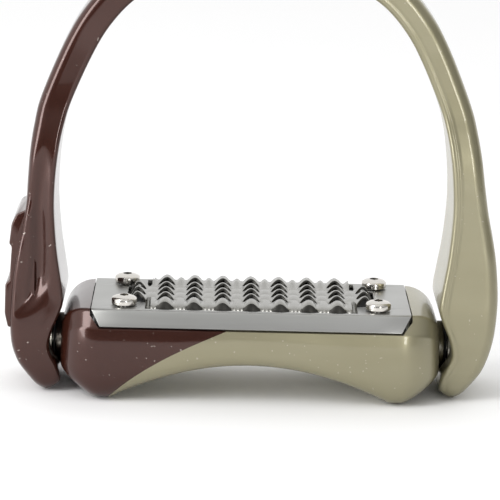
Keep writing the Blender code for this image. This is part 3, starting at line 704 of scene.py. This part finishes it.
def grip_plate():
    """A pressed sheet of nine slotted ridges, cut and raised from one flat blank."""
    plate = started("steel_grip", bpy.ops.mesh.primitive_plane_add, size=1.0,
                    location=(0, 0, SHEET_TOP),
                    scale=(2 * SHEET_HALF_LENGTH, 2 * SHEET_HALF_DEPTH, 1))
    columns = []
    for number in range(RIDGE_COUNT):
        centre = FIRST_RIDGE + number * RIDGE_PITCH
        columns += [centre + share * RIDGE_WIDTH / 2
                    for share in (-1.0, -0.8, -0.6, -0.4, -0.2, 0.0, *SLOT_SHARES)]
        if number < RIDGE_COUNT - 1:
            columns += [centre + RIDGE_PITCH / 2 + shift for shift in PLEATS]
    rows = [edge for slot in SLOT_ROWS for edge in (slot - SLOT_HALF, slot + SLOT_HALF)]
    rows += [0.0, SLOT_PITCH, -SLOT_PITCH]
    rows += [side * place for side in (-1, 1)
             for place in (LAST_RIB, WALL_SHOULDER, WALL_TOP, SHORT_HALF_DEPTH)]
    edit("FACE")
    bisected(columns, 0)
    bisected(rows, 1)
    pick("FACE", lambda f: in_slot(middle(f).x, middle(f).y))
    bpy.ops.mesh.delete(type="FACE")
    shape = bmesh.from_edit_mesh(plate.data)
    levels = sorted({round(sheet_rise(v.co.x, v.co.y), 6) for v in shape.verts} - {0.0})
    for level in levels:
        pick("VERT", lambda v: v.co.z < SHEET_TOP + 0.0000005
             and abs(sheet_rise(v.co.x, v.co.y) - level) < 0.00000051)
        bpy.ops.transform.translate(value=(0.0, 0.0, level))
    for share in SLOT_SHARES:
        pull = SLOT_HALF * (1 - math.cos(share * math.pi / 2) ** SLOT_POINT)
        for side in (-1.0, 1.0):
            pick("VERT", lambda v: abs(abs(ridge_across(v.co.x)) - share) < 0.01
                 and any(abs(v.co.y - slot - side * SLOT_HALF) < 0.00001 for slot in SLOT_ROWS))
            bpy.ops.transform.translate(value=(0.0, -side * pull, 0.0))
    pick("VERT", lambda v: -v.co.y > WALL_TOP - 0.0001 and any(
        abs(v.co.x - FIRST_RIDGE - (number + 0.5) * RIDGE_PITCH - shift) < 0.00001
        for number in range(RIDGE_COUNT - 1) for shift in PLEATS[::2]))
    bpy.ops.transform.translate(value=(0.0, PLEAT_DEPTH, 0.0))
    bpy.ops.mesh.select_all(action="SELECT")
    bpy.ops.mesh.normals_make_consistent(inside=False)
    pick("FACE", lambda f: f.normal.z < -0.05)
    bpy.ops.mesh.flip_normals()
    done()
    plate.data.materials.append(GRIP_STEEL)
    plate.data.materials.append(SHADE_PAINTED_STEEL)
    # The ridges' front walls take the near-black second steel, which paints their shade
    edit("FACE")
    pick("FACE", lambda f: abs(middle(f).y) > WALL_TOP and middle(f).z > SHEET_TOP + 0.0001
         and abs(ridge_across(middle(f).x)) < 1.0)
    plate.active_material_index = 1
    bpy.ops.object.material_slot_assign()
    done()
    # The sheet's underside and cut rims take the near-black steel too, as painted shade
    modify(plate, "SOLIDIFY", thickness=SHEET_THICKNESS, offset=-1.0, material_offset=1,
           material_offset_rim=1)
    screw_holes(plate, 0.024, TRAY_TOP)
    soften(plate, PLATE_EDGE, 2, 50.0)
    shade(plate, 50.0)
    settle(plate, "tread", "rasp_plate", GRIP_STEEL, "rasp_plate")


# -------------------------------------------------------------------- screws
def plate_screws():
    """Pan-head screws with a domed top and a hexagon socket."""
    low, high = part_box("plate_screw_front_left")
    place = foot_of("plate_screw_front_left")
    radius = (high[0] - low[0]) / 2
    shank = SCREW_SHANK
    seat = TRAY_TOP + FIT_GAP
    rise = high[2] - seat
    edge = seat + rise * 0.55
    profile = [(low[2], 0.0), (low[2], shank * TIP_SHARE), (low[2] + TIP_LENGTH, shank),
               (seat, shank), (seat, radius - 0.0003), (seat + 0.0003, radius), (edge, radius)]
    for step in range(1, 9):
        turn = math.radians(90 * step / 8)
        profile.append((edge + rise * 0.45 * math.sin(turn),
                        radius * math.cos(turn) if step < 8 else 0.0))
    screw = spun("domed_screw_front_left", profile, place, upright=True, steps=56)
    socket = started("socket_tool", bpy.ops.mesh.primitive_cylinder_add, vertices=6,
                     radius=SCREW_SOCKET, depth=SOCKET_TOOL_LENGTH,
                     location=(place[0], place[1], high[2] + 0.0002))
    cut_with(screw, socket)
    shade(screw, 35.0)
    screws = [screw]
    for name in SCREWS[1:]:
        there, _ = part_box(f"plate_screw_{name}")
        shift = (there[0] - low[0], there[1] - low[1], 0.0)
        screws.append(twin(screw, f"domed_screw_{name}", shift))
    for name, piece in zip(SCREWS, screws):
        settle(piece, "tread", "plate_screw", SCREW_STEEL, f"plate_screw_{name}")


# ------------------------------------------------------------- pivot hardware
def turned_ring(piece_name, node, bore, look, body, slot, width=0.0002):
    """A ring that fills its node's box, with softened edges."""
    low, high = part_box(node)
    side = math.copysign(1.0, low[0])
    near, far = sorted((abs(low[0]), abs(high[0])))
    radius = (high[2] - low[2]) / 2
    profile = [(near, bore), (near, radius), (far, radius), (far, bore)]
    ring = spun(piece_name, profile, (0, 0, PIVOT_HEIGHT), side, steps=72)
    soften(ring, width, 2)
    shade(ring)
    settle(ring, body, slot, look, node)


def pivot_bolt(side_name, side):
    """A cap bolt with a bevelled head and a hexagon socket, laid along the pivot."""
    low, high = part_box(f"pivot_bolt_{side_name}")
    near, far = sorted((abs(low[0]), abs(high[0])))
    radius = (high[2] - low[2]) / 2
    seat = far - BOLT_HEAD_HEIGHT
    shank = BOLT_SHANK
    profile = [(near, 0.0), (near, shank * TIP_SHARE), (near + TIP_LENGTH, shank), (seat, shank),
               (seat, radius), (far - 0.0006, radius), (far - 0.0002, radius - 0.0004),
               (far, radius - 0.0009), (far, 0.0)]
    bolt = spun(f"cap_bolt_{side_name}", profile, (0, 0, PIVOT_HEIGHT), side, steps=56)
    socket = started("bolt_tool", bpy.ops.mesh.primitive_cylinder_add, vertices=6,
                     radius=BOLT_SOCKET, depth=SOCKET_TOOL_LENGTH,
                     location=(side * (far + 0.0003), 0.0, PIVOT_HEIGHT),
                     rotation=(0.0, math.pi / 2, 0.0))
    cut_with(bolt, socket)
    shade(bolt, 35.0)
    settle(bolt, "arch", "pivot_bolt", SCREW_STEEL, f"pivot_bolt_{side_name}")


def pivot_hardware():
    """The rings and bolts between each end of the tread and its hub."""
    for side_name, side in SIDES:
        turned_ring(f"pressed_sleeve_{side_name}", f"bush_outer_sleeve_{side_name}",
                    SLEEVE_BORE, RING_STEEL, "tread", "bush_outer_sleeve")
        turned_ring(f"dust_seal_{side_name}", f"seal_ring_{side_name}",
                    SEAL_BORE, RUBBER, "tread", "seal_ring", 0.0001)
        turned_ring(f"bright_washer_{side_name}", f"clamp_washer_{side_name}",
                    WASHER_BORE, RING_STEEL, "arch", "clamp_washer", 0.0003)
        turned_ring(f"spring_washer_{side_name}", f"lock_washer_{side_name}",
                    LOCK_WASHER_BORE, ZINC, "arch", "lock_washer")
        pivot_bolt(side_name, side)


# ----------------------------------------------------------------------- arch
HUB_STATIONS = (
    # inner edge beyond hub face, height; outer edge beyond hub face, height; half depth share;
    # how far the left arm's outer side is set back to stand its badge out
    (-0.0029, 0.0016, 0.0006, 0.0004, 0.72, 0.0000),
    (-0.0046, 0.0040, 0.0031, 0.0020, 0.85, 0.0000),
    (-0.0038, 0.0087, 0.0062, 0.0060, 0.94, 0.0000),
    (-0.0012, 0.0144, 0.0090, 0.0102, 0.98, 0.0000),
    (-0.0019, 0.0200, 0.0110, 0.0156, 1.00, 0.0002),
    (-0.0041, 0.0255, 0.0123, 0.0215, 1.00, 0.0010),
    (-0.0054, 0.0300, 0.0129, 0.0280, 0.99, 0.0018),
    (-0.0047, 0.0365, 0.0130, 0.0350, 0.96, 0.0022),
)
ARM_STATIONS = (
    # as above, with heights as shares of the way from the hub's top to the crown
    (-0.0034, 0.085, 0.0121, 0.085, 0.93, 0.0026),
    (-0.0026, 0.165, 0.0108, 0.160, 0.90, 0.0028),
    (-0.0022, 0.245, 0.0091, 0.240, 0.88, 0.0024),
    (-0.0025, 0.330, 0.0077, 0.325, 0.86, 0.0015),
    (-0.0034, 0.415, 0.0065, 0.410, 0.81, 0.0009),
    (-0.0048, 0.490, 0.0049, 0.490, 0.71, 0.0004),
    (-0.0072, 0.570, 0.0024, 0.580, 0.60, 0.0000),
)
CROWN_STATIONS = (
    # shares of the shoulder's half width, and heights below the eye's foot and the eye's top
    (0.895, 0.0290, 0.894, 0.0508),
    (0.800, 0.0195, 0.800, 0.0399),
    (0.675, 0.0115, 0.669, 0.0302),
    (0.520, 0.0060, 0.507, 0.0232),
    (0.360, 0.0025, 0.391, 0.0150),
    (0.240, 0.0010, 0.336, 0.0066),
    (0.130, 0.0002, 0.269, 0.0012),
    (0.050, 0.0000, 0.120, 0.0000),
)


def arch_sections(set_back):
    """Inner point, outer point and half depth of each section, from a hub to the crown."""
    crown = OVERALL_HEIGHT - EYE_HEIGHT
    hub_top = HUB_STATIONS[-1][1]
    rise = crown - hub_top
    rows = list(HUB_STATIONS)
    for inner, inner_share, outer, outer_share, deep, back in ARM_STATIONS:
        rows.append((inner, hub_top + rise * inner_share, outer, hub_top + rise * outer_share,
                     deep, back))
    sections = [(HUB_FACE + inner, inner_z, HUB_FACE + outer - set_back * back, outer_z,
                 HUB_HALF_DEPTH * deep) for inner, inner_z, outer, outer_z, deep, back in rows]
    shoulder = sections[-1]
    for inner, below_foot, outer, below_top in CROWN_STATIONS:
        sections.append((shoulder[0] * inner, crown - below_foot, shoulder[2] * outer,
                         OVERALL_HEIGHT - below_top, ARM_HALF_DEPTH))
    return sections


def smooth_between(sections, steps):
    """Sections on a Catmull-Rom curve through the ones given."""
    curve = []
    for index in range(len(sections) - 1):
        around = [sections[max(0, min(len(sections) - 1, index + offset))]
                  for offset in (-1, 0, 1, 2)]
        for step in range(steps):
            t = step / steps
            curve.append(tuple(
                0.5 * (2 * b + (c - a) * t + (2 * a - 5 * b + 4 * c - d) * t ** 2
                       + (3 * b - a - 3 * c + d) * t ** 3)
                for a, b, c, d in zip(*around)))
    return curve + [sections[-1]]


def eased(value, low, high):
    """A smooth step from 0 at low to 1 at high."""
    share = max(0.0, min(1.0, (value - low) / (high - low)))
    return share * share * (3 - 2 * share)


# The left arm's hollow, in millimetres
CREASE_PLACE = 1.0
CREASE_HEIGHT = 50.7
CREASE_SLOPE = 0.27
CREASE_LIMIT = -4.0
LEAN_SLOPE = 0.13
LEAN_REACH = 9.0
LEAN_STARTS = (14, 34)
LEAN_ENDS = (84, 96)
GROOVE_DEPTH = 2.2
GROOVE_WIDTH = 2.4
GROOVE_PLACE = 4.4
GROOVE_SWEEP = 5.8
GROOVE_FOOT = 30
GROOVE_LOWEST = 20.0
GROOVE_RUN = 9
GROOVE_STARTS = (24, 38)
GROOVE_ENDS = (62, 84)


def left_scoop(u, z):
    """How far the left arm's faces are hollowed at a distance from its inner edge.

    The outer part leans back from a slanting crease, and a soft groove follows a curved
    line down it. Both are worked out in millimetres.
    """
    height = z * 1000
    across = u * 1000
    crease = CREASE_PLACE + (height - CREASE_HEIGHT) * CREASE_SLOPE
    past = max(0.0, min(LEAN_REACH, across - max(crease, CREASE_LIMIT)))
    lean = LEAN_SLOPE * past * eased(height, *LEAN_STARTS)
    lean *= 1 - eased(height, *LEAN_ENDS)
    sweep = math.exp((GROOVE_FOOT - max(height, GROOVE_LOWEST)) / GROOVE_RUN)
    line = GROOVE_PLACE + GROOVE_SWEEP * sweep
    near = eased(height, *GROOVE_STARTS) * (1 - eased(height, *GROOVE_ENDS))
    groove = GROOVE_DEPTH * math.exp(-((across - line) / GROOVE_WIDTH) ** 2) * near
    return (lean + groove) / 1000


def edge_line(u, inside):
    """The fine groove that runs beside the right arm's inner edge."""
    across = (u - inside - EDGE_LINE_INSET) / EDGE_LINE_WIDTH
    return EDGE_LINE_DEPTH * math.exp(-across ** 2)


def arch_ring(inner_x, inner_z, outer_x, outer_z, deep, left):
    """A rounded rectangle between the inner and outer edge of the arch."""
    inner = Vector((inner_x, 0.0, inner_z))
    outer = Vector((outer_x, 0.0, outer_z))
    thick = (outer - inner).length
    unit = (outer - inner) / thick
    beside_badge = left * eased(outer_z, *BADGE_STARTS) * (1 - eased(outer_z, *BADGE_ENDS))
    inside = min(INNER_EDGE_RADIUS, thick * 0.42)
    outside = min(OUTER_EDGE_RADIUS - BADGE_SIDE_TRIM * beside_badge, thick * 0.45)
    fine = [inside + FINE_SPACING * step for step in range(1, 7)]
    room = thick - outside - fine[-1]
    across = fine + [fine[-1] + room * step / 12 for step in range(1, 12)]
    outline = []

    def corner(u, y, radius, start):
        for step in range(7):
            angle = math.radians(start + 15 * step)
            outline.append((u + radius * math.cos(angle), y + radius * math.sin(angle)))

    def side_flat(u, start, stop):
        outline.extend((u, start + (stop - start) * step / 6) for step in range(1, 6))

    corner(inside, -deep + inside, inside, 180)
    outline.extend((u, -deep) for u in across)
    corner(thick - outside, -deep + outside, outside, 270)
    side_flat(thick, -deep + outside, deep - outside)
    corner(thick - outside, deep - outside, outside, 0)
    outline.extend((u, deep) for u in reversed(across))
    corner(inside, deep - inside, inside, 90)
    side_flat(0.0, deep - inside, -deep + inside)
    ring = []
    for u, y in outline:
        point = inner + unit * u
        hollow = left_scoop(u, point.z) if left else edge_line(u, inside)
        ring.append((point.x, y * (1 - hollow / deep), point.z))
    return ring


BADGE_OUTLINE = (
    # depth below the hub's outside, and height
    (0.0095, 0.0200), (0.0010, 0.0212), (0.0000, 0.0255), (0.0001, 0.0348), (0.0014, 0.0360),
    (0.0020, 0.0468), (0.0012, 0.0476), (0.0019, 0.0540), (0.0035, 0.0572), (0.0095, 0.0600),
)


def side_badge():
    """A plain raised panel on the outer side of the left arm, with a shallow band across it."""
    rings = []
    for side in (-1.0, 1.0):
        rings.append([(depth - HUB_OUTSIDE, side * (BADGE_FOOT_HALF_DEPTH - (
            height - BADGE_FOOT_HEIGHT) * BADGE_TAPER), height)
            for depth, height in BADGE_OUTLINE])
    badge = skinned("badge_form", rings)
    soften(badge, BADGE_EDGE, 3, 12.0)
    return badge


def arch_bow():
    """The one-piece arch from hub to hub, with its eye slot and its two bolt seats."""
    rows = smooth_between(arch_sections(0.0), SECTION_DIVISIONS)
    right = [arch_ring(*row, 0.0) for row in rows]
    rows = smooth_between(arch_sections(1.0), SECTION_DIVISIONS)
    left = [arch_ring(*row, 1.0) for row in reversed(rows)]
    left = [[(-x, y, z) for x, y, z in ring] for ring in left]
    arch = skinned("lacquered_arch", right + left)
    cut_with(arch, side_badge(), "UNION")
    centre = OVERALL_HEIGHT - EYE_BAR - EYE_SLOT_HEIGHT / 2
    slot = started("eye_tool", bpy.ops.mesh.primitive_cube_add, size=1.0,
                   location=(0.0, 0.0, centre),
                   scale=(2 * EYE_SLOT_HALF, 2 * HUB_HALF_DEPTH, EYE_SLOT_HEIGHT))
    edit("EDGE")
    pick("EDGE", lambda e: abs(e.verts[0].co.y - e.verts[1].co.y) > 0.001)
    bpy.ops.mesh.bevel(offset=EYE_SLOT_CORNER, segments=6, affect="EDGES")
    done()
    cut_with(arch, slot)
    spot = (WASHER_HIGH[2] - WASHER_LOW[2]) / 2 + HUB_SPOT_CLEARANCE
    inside = HALF_LENGTH - HUB_TOOL_OVERRUN
    outside = HUB_OUTSIDE + HUB_TOOL_OVERRUN
    seat = HUB_FACE + HUB_WALL
    profile = [(inside, 0.0), (inside, spot), (HUB_FACE, spot), (HUB_FACE, HUB_BOLT_HOLE),
               (seat, HUB_BOLT_HOLE), (seat, HUB_COUNTERBORE), (outside, HUB_COUNTERBORE),
               (outside, 0.0)]
    for _, side in SIDES:
        cut_with(arch, spun("hub_tool", profile, (0, 0, PIVOT_HEIGHT), side, steps=64))
    shade(arch, 34.0)
    settle(arch, "arch", "arch_frame", ARCH_LACQUER, "arch_frame")


# ---------------------------------------------------- hidden nodes that stay
def carried_nodes():
    """Give the hidden nodes their finishes."""
    looks = {"rubber_pad": RUBBER}
    for name in SCREWS:
        looks[f"thread_insert_{name}"] = ZINC
    for side_name, _ in SIDES:
        looks[f"rubber_bush_{side_name}"] = RUBBER
        looks[f"pivot_core_{side_name}"] = RING_STEEL
    for name, look in looks.items():
        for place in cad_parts[name].material_slots:
            place.material = look


# ------------------------------------------------------------ studio and view
LIGHTS = (
    # name, place, aim, width and height, power
    ("key_box", (-0.80, -0.55, 0.95), (0, 0, 0.04), (0.45, 0.45), 4.5),
    ("left_strip", (-0.95, -0.62, 0.30), (0, 0, 0.06), (0.40, 0.8), 7.0),
    ("front_right_box", (0.36, -1.15, 0.27), (0.05, 0, 0.06), (0.14, 0.40), 2.4),
)
# Tones of the sky from the horizon up, in front of the object and behind it
SKY_IN_FRONT = ((0.0, 0.04), (0.16, 0.12), (0.42, 0.42), (0.80, 0.62), (0.98, 1.0))
SKY_BEHIND = ((0.0, 1.0), (0.5, 0.95), (1.0, 1.0))
SKY_FRONT_DIRECTION = (0.30, -0.50, 0.0)
SKY_STRENGTH = 1.15
VIEW_AZIMUTH, VIEW_ELEVATION, VIEW_ROLL = -0.707, 13.276, 1.5
VIEW_TARGET = (-0.0007, 0.0, 0.0444)
VIEW_DISTANCE = 0.8736
LENS_LENGTH, SENSOR_WIDTH, VIEW_REACH = 197.4, 36.0, 60.0


def soft_light(name, place, aim, size, power):
    """A rectangular light aimed at a point."""
    lamp = bpy.data.lights.new(name, "AREA")
    lamp.shape = "RECTANGLE"
    lamp.size, lamp.size_y = size
    lamp.energy = power
    made = bpy.data.objects.new(name, lamp)
    made.location = place
    made.rotation_mode = "QUATERNION"
    made.rotation_quaternion = (Vector(aim) - Vector(place)).to_track_quat("-Z", "Y")
    bpy.context.scene.collection.objects.link(made)


def studio():
    """The pale floor, the sky and the lights."""
    floor = started("studio_floor", bpy.ops.mesh.primitive_plane_add, size=24.0)
    bench = Bench("pale_floor", 0.9)
    bench.feed("Base Color", bench.mixed(bench.noise(3.0), (0.93, 0.93, 0.93),
                                         (0.95, 0.95, 0.95)))
    floor.data.materials.append(bench.material)
    world = bpy.data.worlds.new("studio_sky")
    bpy.context.scene.world = world
    world.use_nodes = True
    nodes, links = world.node_tree.nodes, world.node_tree.links
    direction = nodes.new("ShaderNodeTexCoord").outputs["Generated"]
    parts = nodes.new("ShaderNodeSeparateXYZ")
    links.new(direction, parts.inputs[0])

    def ramp(value, stops):
        """Grey tones at the given places along a value."""
        made = nodes.new("ShaderNodeValToRGB")
        made.color_ramp.elements[0].position = stops[0][0]
        made.color_ramp.elements[1].position = stops[-1][0]
        for position, _ in stops[1:-1]:
            made.color_ramp.elements.new(position)
        for element, (_, tone) in zip(made.color_ramp.elements, stops):
            element.color = (tone, tone, tone, 1.0)
        links.new(value, made.inputs[0])
        return made.outputs[0]

    front = nodes.new("ShaderNodeVectorMath")
    front.operation = "DOT_PRODUCT"
    links.new(direction, front.inputs[0])
    front.inputs[1].default_value = SKY_FRONT_DIRECTION
    shade_front = ramp(parts.outputs[2], SKY_IN_FRONT)
    shade_back = ramp(parts.outputs[2], SKY_BEHIND)
    blend = nodes.new("ShaderNodeMix")
    blend.data_type = "RGBA"
    links.new(ramp(front.outputs["Value"], ((0.0, 0.0), (0.22, 1.0))), blend.inputs[0])
    links.new(shade_back, blend.inputs[6])
    links.new(shade_front, blend.inputs[7])
    sky = nodes["Background"]
    links.new(blend.outputs[2], sky.inputs[0])
    sky.inputs[1].default_value = SKY_STRENGTH
    for light in LIGHTS:
        soft_light(*light)
    bpy.context.scene.view_settings.view_transform = "Standard"


def camera():
    """A long lens a little above the tread, with a slight roll."""
    azimuth, elevation, roll = (math.radians(turn) for turn in (
        VIEW_AZIMUTH, VIEW_ELEVATION, VIEW_ROLL))
    back = Vector((math.sin(azimuth) * math.cos(elevation),
                   -math.cos(azimuth) * math.cos(elevation), math.sin(elevation)))
    lens = bpy.data.cameras.new("view")
    lens.lens = LENS_LENGTH
    lens.sensor_width = SENSOR_WIDTH
    lens.clip_end = VIEW_REACH
    made = bpy.data.objects.new("view", lens)
    made.location = Vector(VIEW_TARGET) + back * VIEW_DISTANCE
    made.rotation_mode = "QUATERNION"
    made.rotation_quaternion = Quaternion(back, roll) @ (-back).to_track_quat("-Z", "Y")
    bpy.context.scene.collection.objects.link(made)
    bpy.context.scene.camera = made


camera()
studio()
arch_bow()
tread_body()
cover_tray()
grip_plate()
plate_screws()
pivot_hardware()
carried_nodes()
deselect()
